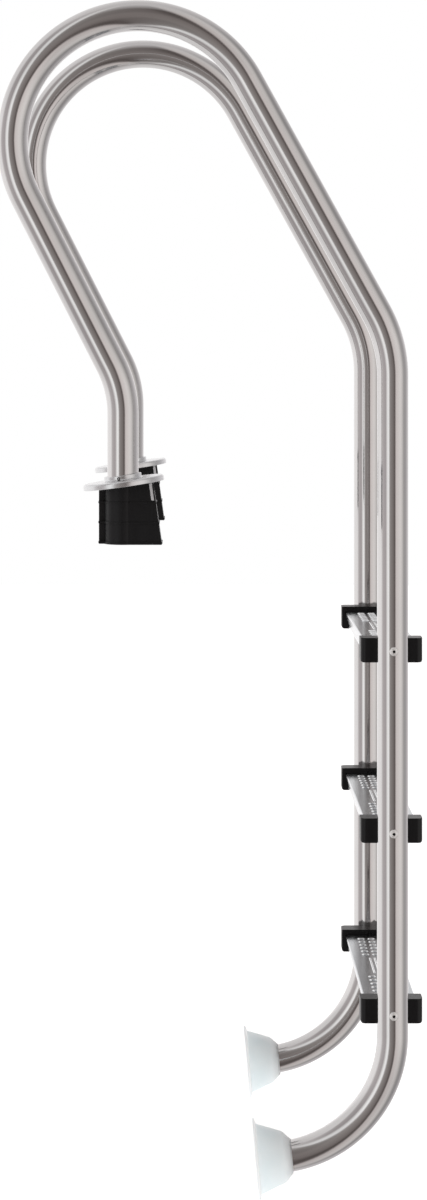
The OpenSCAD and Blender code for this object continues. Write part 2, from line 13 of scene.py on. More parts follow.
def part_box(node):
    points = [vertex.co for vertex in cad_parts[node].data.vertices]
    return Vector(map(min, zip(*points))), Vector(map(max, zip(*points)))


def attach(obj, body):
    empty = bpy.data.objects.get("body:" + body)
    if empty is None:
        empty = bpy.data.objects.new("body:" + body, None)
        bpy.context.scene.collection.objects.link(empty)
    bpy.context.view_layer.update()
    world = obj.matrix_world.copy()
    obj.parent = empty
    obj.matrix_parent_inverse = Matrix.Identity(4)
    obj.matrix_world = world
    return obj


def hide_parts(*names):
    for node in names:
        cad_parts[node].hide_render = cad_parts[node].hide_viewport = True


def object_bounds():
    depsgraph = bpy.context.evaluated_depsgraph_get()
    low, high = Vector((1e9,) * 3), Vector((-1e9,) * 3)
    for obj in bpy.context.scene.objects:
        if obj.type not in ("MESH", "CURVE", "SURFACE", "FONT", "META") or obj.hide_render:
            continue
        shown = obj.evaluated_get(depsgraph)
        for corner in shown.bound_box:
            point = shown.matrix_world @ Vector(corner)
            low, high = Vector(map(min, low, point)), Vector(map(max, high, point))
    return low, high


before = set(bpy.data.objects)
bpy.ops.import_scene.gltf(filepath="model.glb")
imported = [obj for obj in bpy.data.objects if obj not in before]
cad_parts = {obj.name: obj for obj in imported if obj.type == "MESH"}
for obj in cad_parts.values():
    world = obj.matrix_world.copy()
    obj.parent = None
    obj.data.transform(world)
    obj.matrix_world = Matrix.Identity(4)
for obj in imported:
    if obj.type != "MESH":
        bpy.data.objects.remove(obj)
cad_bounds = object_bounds()

MM = 0.001
SIDES = {"left": -1, "right": 1}
LEVELS = ("top", "middle", "bottom")


def middle(node, axis):
    """Middle of a frame node's box along an axis, in millimetres."""
    low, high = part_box(node)
    return (low[axis] + high[axis]) / 2 / MM


def edge(node, axis, top):
    """Lowest or highest edge of a frame node's box along an axis, in millimetres."""
    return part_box(node)[1 if top else 0][axis] / MM


# Where things are, from the frame
RAIL_Y = middle("rail_right", 1)
REACH = middle("tread_washers", 0)
# Thickness of a cap's web, between the tube and the end of the tread
CAP_WEB = 6
# Height of a cap's top above the tread, and of the tread above its bolts
CAP_RISE = 8
BOLT_DROP = 6.5

# Rail tube
TUBE_R = 21.5
TUBE_WALL = 1.5
ANCHOR_FLOOR = 6.5
SOCKET_FLOOR = edge("deck_anchor_left", 2, False) + ANCHOR_FLOOR
TREAD_END_Y = RAIL_Y - TUBE_R - CAP_WEB
HEEL_HEIGHT, HEEL_R = 106, 150
LAND_LEAN, GRAB_R = 27, 173
POOL_LEAN, KNEE_R = 29, 180
FOOT_R, FOOT_DROOP, FOOT_STUB = 170, 5, 22.5
UPRIGHT_TAIL = 30
GRAB_HEIGHT = 677


# ---------------------------------------------------------------- meshes

def piece(name, mesh, body, material, stands_for=(), sharp=32):
    """Makes a finished piece of a mesh: shading, material, body, and hiding the frame nodes it
    stands for.
    """
    mesh.shade_smooth()
    mesh.set_sharp_from_angle(angle=radians(sharp))
    obj = bpy.data.objects.new(name, mesh)
    bpy.context.scene.collection.objects.link(obj)
    mesh.materials.clear()
    mesh.materials.append(material)
    weighted = obj.modifiers.new("even_faces", "WEIGHTED_NORMAL")
    weighted.keep_sharp = True
    weighted.weight = 90
    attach(obj, body)
    if stands_for:
        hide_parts(*stands_for)
    return obj


def mesh_from(name, build, place=Matrix()):
    """Runs a bmesh builder in millimetres, puts the result in its place and in metres."""
    bm = bmesh.new()
    build(bm)
    bmesh.ops.remove_doubles(bm, verts=bm.verts, dist=0.001)
    bmesh.ops.recalc_face_normals(bm, faces=bm.faces)
    bm.transform(Matrix.Scale(MM, 4) @ place)
    mesh = bpy.data.meshes.new(name)
    bm.to_mesh(mesh)
    bm.free()
    return mesh


def filleted(corners, steps=6):
    """Rounds a closed outline. Each corner is x, y and the radius it is rounded to."""
    points = []
    count = len(corners)
    for i, (x, y, radius) in enumerate(corners):
        here = Vector((x, y))
        before = Vector(corners[i - 1][:2]) - here
        after = Vector(corners[(i + 1) % count][:2]) - here
        half = before.angle(after, pi) / 2
        if radius <= 0 or half > pi / 2 - 0.01:
            points.append(here)
            continue
        reach = min(radius / tan(half), before.length * 0.49, after.length * 0.49)
        radius = reach * tan(half)
        centre = here + (before.normalized() + after.normalized()).normalized() * radius / sin(half)
        first = here + before.normalized() * reach - centre
        last = here + after.normalized() * reach - centre
        sweep = first.angle_signed(last)
        for step in range(steps + 1):
            points.append(centre + Matrix.Rotation(-sweep * step / steps, 2) @ first)
    return points


def extrude_y(bm, outline, y0, y1):
    """A closed bar along Y with an outline in X and Z."""
    near = [bm.verts.new((p[0], y0, p[1])) for p in outline]
    far = [bm.verts.new((p[0], y1, p[1])) for p in outline]
    count = len(outline)
    for i in range(count):
        bm.faces.new((near[i], near[(i + 1) % count], far[(i + 1) % count], far[i]))
    bm.faces.new(near)
    bm.faces.new(list(reversed(far)))


def turn(bm, stations, sides=48):
    """A turned solid about Z from stations of radius and height. A radius may be a
    function of the angle, as on a hexagon or a thread."""
    rings = []
    for radius, height in stations:
        if radius == 0:
            rings.append([bm.verts.new((0, 0, height))] * sides)
            continue
        ring = []
        for i in range(sides):
            angle = 2 * pi * i / sides
            r = radius(angle) if callable(radius) else radius
            ring.append(bm.verts.new((r * cos(angle), r * sin(angle), height)))
        rings.append(ring)
    for low, high in zip(rings, rings[1:]):
        for i in range(sides):
            j = (i + 1) % sides
            corners = list(dict.fromkeys((low[i], low[j], high[j], high[i])))
            if len(corners) > 2:
                bm.faces.new(corners)


def hexagon(across_flats):
    """Radius of a hexagon, with a corner at angle 0, as a function of the angle."""
    return lambda angle: across_flats / 2 / cos(angle % (pi / 3) - pi / 6)


def thread(outer_r, pitch, start, end, rows_per_turn=5):
    """Stations of a right-hand thread between two heights."""
    depth = 0.55 * pitch
    rows = ceil(abs(end - start) / pitch * rows_per_turn)
    stations = []
    for row in range(rows + 1):
        height = start + (end - start) * row / rows

        def radius(angle, height=height):
            phase = (height / pitch - angle / (2 * pi)) % 1
            return outer_r - depth * abs(2 * phase - 1)
        stations.append((radius, height))
    return stations


def refined(node, name, body, material, bevel, sharp=32):
    """A frame node's own shape, merged and with its edges broken as moulding or pressing
    breaks them."""
    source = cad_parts[node].data
    bm = bmesh.new()
    bm.from_mesh(source)
    bmesh.ops.remove_doubles(bm, verts=bm.verts, dist=0.002 * MM)
    bmesh.ops.dissolve_limit(bm, angle_limit=radians(0.5), verts=bm.verts, edges=bm.edges)
    mesh = bpy.data.meshes.new(name)
    bm.to_mesh(mesh)
    bm.free()
    mesh.shade_smooth()
    obj = bpy.data.objects.new(name, mesh)
    bpy.context.scene.collection.objects.link(obj)
    broken = obj.modifiers.new("broken_edges", "BEVEL")
    broken.width = bevel * MM
    broken.segments = 2
    broken.limit_method = "ANGLE"
    broken.angle_limit = radians(sharp)
    broken.use_clamp_overlap = True
    weighted = obj.modifiers.new("even_faces", "WEIGHTED_NORMAL")
    weighted.weight = 90
    mesh.materials.append(material)
    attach(obj, body)
    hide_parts(node)
    return obj


# ---------------------------------------------------------------- nodes

def add_node(tree, kind, inputs=None, **settings):
    """Adds a node with its settings, and fills or links its inputs."""
    made = tree.nodes.new(kind)
    for name, value in settings.items():
        setattr(made, name, value)
    for key, value in (inputs or {}).items():
        if isinstance(value, bpy.types.NodeSocket):
            tree.links.new(value, made.inputs[key])
        else:
            made.inputs[key].default_value = value
    return made


def linear(hex_colour):
    """An sRGB hex colour as a linear colour with alpha."""
    parts = [int(hex_colour[i:i + 2], 16) / 255 for i in (1, 3, 5)]
    return [c / 12.92 if c <= 0.04045 else ((c + 0.055) / 1.055) ** 2.4 for c in parts] + [1]


def material(name, **settings):
    """A material with one Principled shader. Returns it, its tree and the shader."""
    made = bpy.data.materials.new(name)
    made.use_nodes = True
    tree = made.node_tree
    shader = tree.nodes["Principled BSDF"]
    for key, value in settings.items():
        shader.inputs[key.replace("_", " ")].default_value = value
    return made, tree, shader


def polished_stainless_tube():
    """Welded 1.4404 tube, belt-polished along its length: mirror-like, with hairlines
    along the tube that soften what it reflects across them."""
    made, tree, shader = material("polished_stainless_tube", Metallic=1.0, Roughness=0.1)
    along = add_node(tree, "ShaderNodeAttribute", attribute_name="along")
    around = add_node(tree, "ShaderNodeAttribute", attribute_name="around")
    # Hairlines 0.5 mm apart round the tube and about 80 mm long
    lines = add_node(tree, "ShaderNodeCombineXYZ", {
        "X": add_node(tree, "ShaderNodeMath", {0: along.outputs["Fac"], 1: 12.0},
                      operation="MULTIPLY").outputs[0],
        "Y": add_node(tree, "ShaderNodeMath", {0: around.outputs["Fac"], 1: 260.0},
                      operation="MULTIPLY").outputs[0]})
    hair = add_node(tree, "ShaderNodeTexNoise",
                    {"Vector": lines.outputs[0], "Scale": 1.0, "Detail": 3.0})
    coords = add_node(tree, "ShaderNodeTexCoord")
    # Slow variation of the polish, about 60 mm across
    cloud = add_node(tree, "ShaderNodeTexNoise",
                     {"Vector": coords.outputs["Object"], "Scale": 16.0, "Detail": 2.0})
    tone = add_node(tree, "ShaderNodeMix", {
        "Factor": cloud.outputs["Fac"],
        6: linear("#D1CFCE"), 7: linear("#C8C7C7")}, data_type="RGBA")
    tree.links.new(tone.outputs[2], shader.inputs["Base Color"])
    gloss = add_node(tree, "ShaderNodeMapRange", {
        "Value": hair.outputs["Fac"], "From Min": 0.3, "From Max": 0.7,
        "To Min": 0.07, "To Max": 0.15})
    tree.links.new(gloss.outputs[0], shader.inputs["Roughness"])
    bump = add_node(tree, "ShaderNodeBump", {
        "Height": hair.outputs["Fac"], "Strength": 0.03, "Distance": 0.0002})
    tree.links.new(bump.outputs[0], shader.inputs["Normal"])
    return made


def brushed_stainless_sheet():
    """1.2 mm stainless sheet with a satin grain along its length, so highlights spread
    across the tread and stay narrow along it."""
    made, tree, shader = material("brushed_stainless_sheet", Metallic=1.0, Roughness=0.2)
    coords = add_node(tree, "ShaderNodeTexCoord")
    # Grain 0.4 mm wide and about 25 mm long, along Y
    stretch = add_node(tree, "ShaderNodeMapping", {
        "Vector": coords.outputs["Object"], "Scale": (2500.0, 40.0, 2500.0)})
    grain = add_node(tree, "ShaderNodeTexNoise",
                     {"Vector": stretch.outputs[0], "Scale": 1.0, "Detail": 4.0})
    # Painted shade: the face that is walked on, found by its upward normal, gets a darker copy of
    # the sheet's colour than the folded skirts
    facing = add_node(tree, "ShaderNodeSeparateXYZ", {0: coords.outputs["Normal"]})
    top_face_shade_mask = add_node(tree, "ShaderNodeMapRange", {
        "Value": facing.outputs["Z"], "From Min": 0.75, "From Max": 0.97})
    skirts = add_node(tree, "ShaderNodeMix", {
        "Factor": grain.outputs["Fac"],
        6: linear("#C6C8CA"), 7: linear("#DFE1E3")}, data_type="RGBA")
    top = add_node(tree, "ShaderNodeMix", {
        "Factor": grain.outputs["Fac"],
        6: linear("#93979A"), 7: linear("#BBBFC2")}, data_type="RGBA")
    tone = add_node(tree, "ShaderNodeMix", {
        "Factor": top_face_shade_mask.outputs[0], 6: skirts.outputs[2], 7: top.outputs[2]},
        data_type="RGBA")
    tree.links.new(tone.outputs[2], shader.inputs["Base Color"])
    gloss = add_node(tree, "ShaderNodeMapRange", {
        "Value": grain.outputs["Fac"], "From Min": 0.3, "From Max": 0.7,
        "To Min": 0.14, "To Max": 0.27})
    tree.links.new(gloss.outputs[0], shader.inputs["Roughness"])
    bump = add_node(tree, "ShaderNodeBump", {
        "Height": grain.outputs["Fac"], "Strength": 0.08, "Distance": 0.0002})
    tree.links.new(bump.outputs[0], shader.inputs["Normal"])
    return made


def worn_rib_steel():
    """The pressed ribs in a brighter copy of the sheet's steel: partly wear from bare feet, partly
    painted highlight.
    """
    made, tree, shader = material("worn_rib_steel", Metallic=1.0, Roughness=0.22)
    coords = add_node(tree, "ShaderNodeTexCoord")
    # Wear, in patches about 3 mm across
    wear = add_node(tree, "ShaderNodeTexNoise",
                    {"Vector": coords.outputs["Object"], "Scale": 330.0, "Detail": 2.0})
    tone = add_node(tree, "ShaderNodeMix", {
        "Factor": wear.outputs["Fac"],
        6: linear("#DDE0E2"), 7: linear("#F6F8F9")}, data_type="RGBA")
    tree.links.new(tone.outputs[2], shader.inputs["Base Color"])
    gloss = add_node(tree, "ShaderNodeMapRange", {
        "Value": wear.outputs["Fac"], "To Min": 0.16, "To Max": 0.3})
    tree.links.new(gloss.outputs[0], shader.inputs["Roughness"])
    return made


def pressed_stainless():
    """Bright deep-drawn stainless sheet: a smooth skin with a faint orange peel left by
    the press."""
    made, tree, shader = material("pressed_stainless", Metallic=1.0, Roughness=0.26)
    coords = add_node(tree, "ShaderNodeTexCoord")
    # Orange peel, about 2.4 mm across
    peel = add_node(tree, "ShaderNodeTexNoise",
                    {"Vector": coords.outputs["Object"], "Scale": 420.0, "Detail": 2.0})
    tone = add_node(tree, "ShaderNodeMix", {
        "Factor": peel.outputs["Fac"],
        6: linear("#CFD0D1"), 7: linear("#DCDDDE")}, data_type="RGBA")
    tree.links.new(tone.outputs[2], shader.inputs["Base Color"])
    gloss = add_node(tree, "ShaderNodeMapRange", {
        "Value": peel.outputs["Fac"], "To Min": 0.22, "To Max": 0.32})
    tree.links.new(gloss.outputs[0], shader.inputs["Roughness"])
    bump = add_node(tree, "ShaderNodeBump", {
        "Height": peel.outputs["Fac"], "Strength": 0.05, "Distance": 0.0002})
    tree.links.new(bump.outputs[0], shader.inputs["Normal"])
    return made


def bright_fastener_steel():
    """Stainless fasteners, cold-headed and rolled: bright, with fine tool marks."""
    made, tree, shader = material("bright_fastener_steel", Metallic=1.0, Roughness=0.18)
    coords = add_node(tree, "ShaderNodeTexCoord")
    # Tool marks, about 0.6 mm across
    marks = add_node(tree, "ShaderNodeTexNoise",
                     {"Vector": coords.outputs["Object"], "Scale": 1800.0, "Detail": 3.0})
    tone = add_node(tree, "ShaderNodeMix", {
        "Factor": marks.outputs["Fac"],
        6: linear("#C4C2BF"), 7: linear("#DDDBD8")}, data_type="RGBA")
    tree.links.new(tone.outputs[2], shader.inputs["Base Color"])
    gloss = add_node(tree, "ShaderNodeMapRange", {
        "Value": marks.outputs["Fac"], "To Min": 0.12, "To Max": 0.28})
    tree.links.new(gloss.outputs[0], shader.inputs["Roughness"])
    return made


def passivated_bolt_steel():
    """Matt passivated stainless of the button-head bolts, paler than the tube."""
    made, tree, shader = material("passivated_bolt_steel", Metallic=1.0, Roughness=0.5)
    coords = add_node(tree, "ShaderNodeTexCoord")
    # Cold-heading marks, about 0.5 mm across
    marks = add_node(tree, "ShaderNodeTexNoise",
                     {"Vector": coords.outputs["Object"], "Scale": 2000.0, "Detail": 2.0})
    tone = add_node(tree, "ShaderNodeMix", {
        "Factor": marks.outputs["Fac"],
        6: linear("#EDECEA"), 7: linear("#FBFAF9")}, data_type="RGBA")
    tree.links.new(tone.outputs[2], shader.inputs["Base Color"])
    gloss = add_node(tree, "ShaderNodeMapRange", {
        "Value": marks.outputs["Fac"], "To Min": 0.42, "To Max": 0.58})
    tree.links.new(gloss.outputs[0], shader.inputs["Roughness"])
    return made


def darkened_set_screw():
    """Set screws of the collars, painted dark for the shade inside the collar, with only a dull
    gleam left.
    """
    made, tree, shader = material("darkened_set_screw", Metallic=1.0, Roughness=0.45)
    coords = add_node(tree, "ShaderNodeTexCoord")
    # Mottle in the painted shade, about 0.7 mm across
    screw_mottle = add_node(tree, "ShaderNodeTexNoise",
                     {"Vector": coords.outputs["Object"], "Scale": 1400.0, "Detail": 2.0})
    tone = add_node(tree, "ShaderNodeMix", {
        "Factor": screw_mottle.outputs["Fac"],
        6: linear("#2E2C2B"), 7: linear("#565351")}, data_type="RGBA")
    tree.links.new(tone.outputs[2], shader.inputs["Base Color"])
    return made


def recess_grime():
    """Painted shade: a near-black disc in the bolts' key recesses that stands for the shade inside
    them.
    """
    made, tree, shader = material("recess_grime", Roughness=0.8, Specular_IOR_Level=0.2)
    coords = add_node(tree, "ShaderNodeTexCoord")
    # Mottle in the painted shade, about 0.3 mm across
    recess_mottle = add_node(tree, "ShaderNodeTexNoise",
                      {"Vector": coords.outputs["Object"], "Scale": 3300.0, "Detail": 2.0})
    tone = add_node(tree, "ShaderNodeMix", {
        "Factor": recess_mottle.outputs["Fac"],
        6: linear("#0C0B0B"), 7: linear("#2A2725")}, data_type="RGBA")
    tree.links.new(tone.outputs[2], shader.inputs["Base Color"])
    return made


def zinc_plated_strip():
    """Zinc-plated steel strip of the saddle plates: a pale satin skin that stays light
    whichever way it is bent."""
    made, tree, shader = material("zinc_plated_strip", Metallic=1.0, Roughness=0.5)
    coords = add_node(tree, "ShaderNodeTexCoord")
    # Plating bloom, about 2 mm across
    bloom = add_node(tree, "ShaderNodeTexNoise",
                     {"Vector": coords.outputs["Object"], "Scale": 500.0, "Detail": 3.0})
    tone = add_node(tree, "ShaderNodeMix", {
        "Factor": bloom.outputs["Fac"],
        6: linear("#E0E3E6"), 7: linear("#F4F6F8")}, data_type="RGBA")
    tree.links.new(tone.outputs[2], shader.inputs["Base Color"])
    gloss = add_node(tree, "ShaderNodeMapRange", {
        "Value": bloom.outputs["Fac"], "To Min": 0.44, "To Max": 0.58})
    tree.links.new(gloss.outputs[0], shader.inputs["Roughness"])
    return made


def plated_casting():
    """Tumbled nickel-plated casting of the wedge: a dull grey with a fine pitted skin."""
    made, tree, shader = material("plated_casting", Metallic=1.0, Roughness=0.4)
    coords = add_node(tree, "ShaderNodeTexCoord")
    # Pits, about 1.1 mm across
    pits = add_node(tree, "ShaderNodeTexNoise",
                    {"Vector": coords.outputs["Object"], "Scale": 900.0, "Detail": 4.0})
    tone = add_node(tree, "ShaderNodeMix", {
        "Factor": pits.outputs["Fac"],
        6: linear("#9A9A97"), 7: linear("#B9B9B5")}, data_type="RGBA")
    tree.links.new(tone.outputs[2], shader.inputs["Base Color"])
    bump = add_node(tree, "ShaderNodeBump", {
        "Height": pits.outputs["Fac"], "Strength": 0.3, "Distance": 0.0003})
    tree.links.new(bump.outputs[0], shader.inputs["Normal"])
    return made


def moulded_black_nylon(name, roughness, grain_mm):
    """Injection-moulded black polyamide. The tool's spark-eroded skin gives a fine grain
    that breaks the highlights up; drag marks run down the draw direction."""
    made, tree, shader = material(name, Roughness=roughness, Specular_IOR_Level=0.28)
    coords = add_node(tree, "ShaderNodeTexCoord")
    # Spark-eroded grain of the size given
    grain = add_node(tree, "ShaderNodeTexNoise", {
        "Vector": coords.outputs["Object"], "Scale": 1000.0 / grain_mm, "Detail": 2.0})
    # Drag marks 1.2 mm apart, about 30 mm tall
    stretch = add_node(tree, "ShaderNodeMapping", {
        "Vector": coords.outputs["Object"], "Scale": (800.0, 800.0, 30.0)})
    drag = add_node(tree, "ShaderNodeTexNoise",
                    {"Vector": stretch.outputs[0], "Scale": 1.0, "Detail": 2.0})
    tone = add_node(tree, "ShaderNodeMix", {
        "Factor": drag.outputs["Fac"],
        6: linear("#060607"), 7: linear("#0E0E10")}, data_type="RGBA")
    tree.links.new(tone.outputs[2], shader.inputs["Base Color"])
    gloss = add_node(tree, "ShaderNodeMapRange", {
        "Value": drag.outputs["Fac"], "From Min": 0.3, "From Max": 0.7,
        "To Min": roughness - 0.06, "To Max": roughness + 0.08})
    tree.links.new(gloss.outputs[0], shader.inputs["Roughness"])
    bump = add_node(tree, "ShaderNodeBump", {
        "Height": grain.outputs["Fac"], "Strength": 0.25, "Distance": 0.0003})
    tree.links.new(bump.outputs[0], shader.inputs["Normal"])
    return made


def translucent_pvc():
    """Soft clear-white PVC: light goes some way in and comes out bluish, and the moulded
    skin has a satin gloss."""
    made, tree, shader = material(
        "translucent_pvc", Roughness=0.4, Specular_IOR_Level=0.35, Subsurface_Weight=1.0,
        Subsurface_Scale=0.02)
    shader.inputs["Subsurface Radius"].default_value = (1.0, 1.0, 1.0)
    coords = add_node(tree, "ShaderNodeTexCoord")
    # Haze in clouds about 22 mm across
    haze = add_node(tree, "ShaderNodeTexNoise",
                    {"Vector": coords.outputs["Object"], "Scale": 45.0, "Detail": 3.0})
    tone = add_node(tree, "ShaderNodeMix", {
        "Factor": haze.outputs["Fac"],
        6: linear("#E3EEF1"), 7: linear("#EEF6F8")}, data_type="RGBA")
    tree.links.new(tone.outputs[2], shader.inputs["Base Color"])
    gloss = add_node(tree, "ShaderNodeMapRange", {
        "Value": haze.outputs["Fac"], "To Min": 0.34, "To Max": 0.46})
    tree.links.new(gloss.outputs[0], shader.inputs["Roughness"])
    return made


def studio_floor():
    """Seamless white floor, lit so evenly that only the faintest shadow shows."""
    made, tree, shader = material("studio_floor", Roughness=0.9)
    shader.inputs["Base Color"].default_value = linear("#F4F4F4")
    shader.inputs["Emission Color"].default_value = (1, 1, 1, 1)
    shader.inputs["Emission Strength"].default_value = 0.55
    return made


TUBE = polished_stainless_tube()
SHEET = brushed_stainless_sheet()
RIB_STEEL_HIGHLIT = worn_rib_steel()
PRESSED = pressed_stainless()
FASTENER = bright_fastener_steel()
BOLT_STEEL = passivated_bolt_steel()
SHADE_PAINTED_SCREW = darkened_set_screw()
RECESS_SHADE_PAINT = recess_grime()
PLATED = zinc_plated_strip()
CASTING = plated_casting()
CAP_PLASTIC = moulded_black_nylon("moulded_black_nylon_cap", 0.36, 0.5)
ANCHOR_PLASTIC = moulded_black_nylon("moulded_black_nylon_anchor", 0.46, 0.8)
FOOT_PVC = translucent_pvc()


# ---------------------------------------------------------------- geometry nodes

def new_tree(name, sockets):
    """A geometry node group with named inputs. Returns the group and what it is given."""
    tree = bpy.data.node_groups.new(name, "GeometryNodeTree")
    tree.interface.new_socket("Geometry", in_out="INPUT", socket_type="NodeSocketGeometry")
    for label, kind in sockets:
        tree.interface.new_socket(label, in_out="INPUT", socket_type=kind)
    tree.interface.new_socket("Geometry", in_out="OUTPUT", socket_type="NodeSocketGeometry")
    return tree, tree.nodes.new("NodeGroupInput").outputs


def grown(name, seed, tree, **values):
    """Runs a tree on a seed mesh and returns the result as a plain mesh."""
    host = bpy.data.objects.new(name, seed)
    bpy.context.scene.collection.objects.link(host)
    modifier = host.modifiers.new(name, "NODES")
    modifier.node_group = tree
    for item in tree.interface.items_tree:
        label = item.name.replace(" ", "_").lower()
        if item.item_type == "SOCKET" and item.in_out == "INPUT" and label in values:
            modifier[item.identifier] = values[label]
    bpy.context.view_layer.update()
    evaluated = host.evaluated_get(bpy.context.evaluated_depsgraph_get())
    mesh = bpy.data.meshes.new_from_object(evaluated)
    mesh.name = name
    bpy.data.objects.remove(host)
    return mesh


def tube_tree():
    """Sweeps a tube with a wall along the seed's edges. It keeps the way along and round
    the tube for the hairlines of its finish."""
    tree, given = new_tree("bent_tube", (
        ("Outer radius", "NodeSocketFloat"), ("Wall", "NodeSocketFloat"),
        ("Sides", "NodeSocketInt"), ("Finish", "NodeSocketMaterial")))
    path = add_node(tree, "GeometryNodeMeshToCurve", {"Mesh": given["Geometry"]})
    way = add_node(tree, "GeometryNodeSplineParameter")
    marked = add_node(tree, "GeometryNodeStoreNamedAttribute", {
        "Geometry": path.outputs[0], "Name": "along", "Value": way.outputs["Length"]})
    ring = add_node(tree, "GeometryNodeCurvePrimitiveCircle", {
        "Resolution": given["Sides"], "Radius": given["Outer radius"]})
    ring_marked = add_node(tree, "GeometryNodeStoreNamedAttribute", {
        "Geometry": ring.outputs[0], "Name": "around", "Value": way.outputs["Factor"]})
    outside = add_node(tree, "GeometryNodeCurveToMesh", {
        "Curve": marked.outputs[0], "Profile Curve": ring_marked.outputs[0]})
    inward = add_node(tree, "ShaderNodeMath", {0: given["Wall"], 1: -1.0},
                      operation="MULTIPLY")
    lining = add_node(tree, "GeometryNodeExtrudeMesh", {
        "Mesh": outside.outputs[0], "Offset Scale": inward.outputs[0],
        "Individual": False})
    turned = add_node(tree, "GeometryNodeFlipFaces", {"Mesh": lining.outputs[0]})
    both = add_node(tree, "GeometryNodeJoinGeometry")
    tree.links.new(outside.outputs[0], both.inputs[0])
    tree.links.new(turned.outputs[0], both.inputs[0])
    merged = add_node(tree, "GeometryNodeMergeByDistance",
                      {"Geometry": both.outputs[0], "Distance": 0.00002})
    real = add_node(tree, "GeometryNodeRealizeInstances", {"Geometry": merged.outputs[0]})
    finish = add_node(tree, "GeometryNodeSetMaterial", {
        "Geometry": real.outputs[0], "Material": given["Finish"]})
    add_node(tree, "NodeGroupOutput", {"Geometry": finish.outputs[0]})
    return tree


def set_out_tree():
    """Sets out copies of one part on the seed's points, each turned as its point says."""
    tree, given = new_tree("set_out", (
        ("Part", "NodeSocketObject"), ("Finish", "NodeSocketMaterial")))
    part = add_node(tree, "GeometryNodeObjectInfo", {"Object": given["Part"]})
    facing = add_node(tree, "GeometryNodeInputNamedAttribute", {"Name": "facing"},
                      data_type="FLOAT_VECTOR")
    turned = add_node(tree, "FunctionNodeEulerToRotation", {0: facing.outputs[0]})
    copies = add_node(tree, "GeometryNodeInstanceOnPoints", {
        "Points": given["Geometry"], "Instance": part.outputs["Geometry"],
        "Rotation": turned.outputs[0]})
    real = add_node(tree, "GeometryNodeRealizeInstances", {"Geometry": copies.outputs[0]})
    finish = add_node(tree, "GeometryNodeSetMaterial", {
        "Geometry": real.outputs[0], "Material": given["Finish"]})
    add_node(tree, "NodeGroupOutput", {"Geometry": finish.outputs[0]})
    return tree


BENT_TUBE = tube_tree()
SET_OUT = set_out_tree()


def set_out(name, part_mesh, places, finish):
    """Copies of a part at places, each a point in millimetres and its Euler turn."""
    seed = bpy.data.meshes.new(name + "_places")
    seed.from_pydata([Vector(p) * MM for p, _ in places], [], [])
    facing = seed.attributes.new("facing", "FLOAT_VECTOR", "POINT")
    for i, (_, turn_by) in enumerate(places):
        facing.data[i].vector = turn_by
    pattern = bpy.data.objects.new(name + "_pattern", part_mesh)
    bpy.context.scene.collection.objects.link(pattern)
    mesh = grown(name, seed, SET_OUT, part=pattern, finish=finish)
    bpy.data.objects.remove(pattern)
    return mesh


# ---------------------------------------------------------------- rails

class Bender:
    """Walks the rail's centreline in X and Z, as a tube bender does."""

    def __init__(self, start, heading):
        self.points = [Vector(start)]
        self.heading = radians(heading)

    @property
    def here(self):
        return self.points[-1]

    def straight(self, length):
        self.points.append(self.here + length * Vector((cos(self.heading), sin(self.heading))))

    def bend(self, degrees, radius, step=2.5):
        """Bends left by a positive and right by a negative angle."""
        side = 1 if degrees > 0 else -1
        centre = self.here + side * radius * Vector((-sin(self.heading), cos(self.heading)))
        count = ceil(abs(degrees) / step)
        for _ in range(count):
            self.heading += radians(degrees) / count
            self.points.append(
                centre - side * radius * Vector((-sin(self.heading), cos(self.heading))))


def rail_path():
    """The rail from its socket's floor, over the handrail and down to the wall foot."""
    rail = Bender((0, SOCKET_FLOOR), 90)
    rail.straight(HEEL_HEIGHT - SOCKET_FLOOR)
    rail.bend(LAND_LEAN, HEEL_R)
    grab_centre = GRAB_HEIGHT - TUBE_R - GRAB_R
    rail.straight((grab_centre - GRAB_R * sin(radians(LAND_LEAN)) - rail.here.y)
                  / cos(radians(LAND_LEAN)))
    rail.bend(POOL_LEAN - 180 - LAND_LEAN, GRAB_R)
    knee_run = KNEE_R * (1 - cos(radians(POOL_LEAN)))
    rail.straight((REACH - knee_run - rail.here.x) / sin(radians(POOL_LEAN)))
    rail.bend(-POOL_LEAN, KNEE_R)
    lowest_bolt = edge("tread_cap_bottom_left", 2, True) - CAP_RISE - BOLT_DROP
    rail.straight(rail.here.y - lowest_bolt + UPRIGHT_TAIL)
    rail.bend(FOOT_DROOP - 90, FOOT_R)
    rail.straight(FOOT_STUB)
    return rail


RAIL = rail_path()


def build_rail(side, sign):
    """One rail, swept along the path in its own plane."""
    points = [Vector((p.x, sign * RAIL_Y, p.y)) * MM for p in RAIL.points]
    seed = bpy.data.meshes.new("rail_path_" + side)
    seed.from_pydata(points, [(i, i + 1) for i in range(len(points) - 1)], [])
    mesh = grown("bent_tube_" + side, seed, BENT_TUBE, outer_radius=TUBE_R * MM,
                 wall=TUBE_WALL * MM, sides=72, finish=TUBE)
    piece("bent_tube_" + side, mesh, "ladder", TUBE, ["rail_" + side])


# ---------------------------------------------------------------- wall feet

# Radii of the lip, the cone's root and its shoulder, and how far each is from the wall
LIP_R, CONE_R, SHOULDER_R = 55, 47, 34.2
LIP_T, CONE_Z, SHOULDER_Z = 3.2, 5.2, 39.5
# The mouth that holds the tube, and the web that closes the bore towards the wall
MOUTH_R, MOUTH_Z, MOUTH_FLARE_Z = 22.9, 51, 34.5
FOOT_WEB = 12


def foot_section():
    """Outline of a wall foot as radius and distance from the wall."""
    bore = TUBE_R + 0.2
    axis = 0.01
    outline = filleted([
        (axis, 0, 0), (LIP_R, 0, 1.2), (LIP_R, LIP_T, 1.2), (CONE_R, CONE_Z, 1.0),
        (SHOULDER_R, SHOULDER_Z, 1.2), (MOUTH_R, MOUTH_Z, 0.5), (bore + 0.5, MOUTH_Z, 0.3),
        (bore, MOUTH_FLARE_Z, 1.0), (bore, FOOT_WEB, 1.0), (axis, FOOT_WEB, 0)])
    return [(p.x if p.x > 2 * axis else 0, p.y) for p in outline]


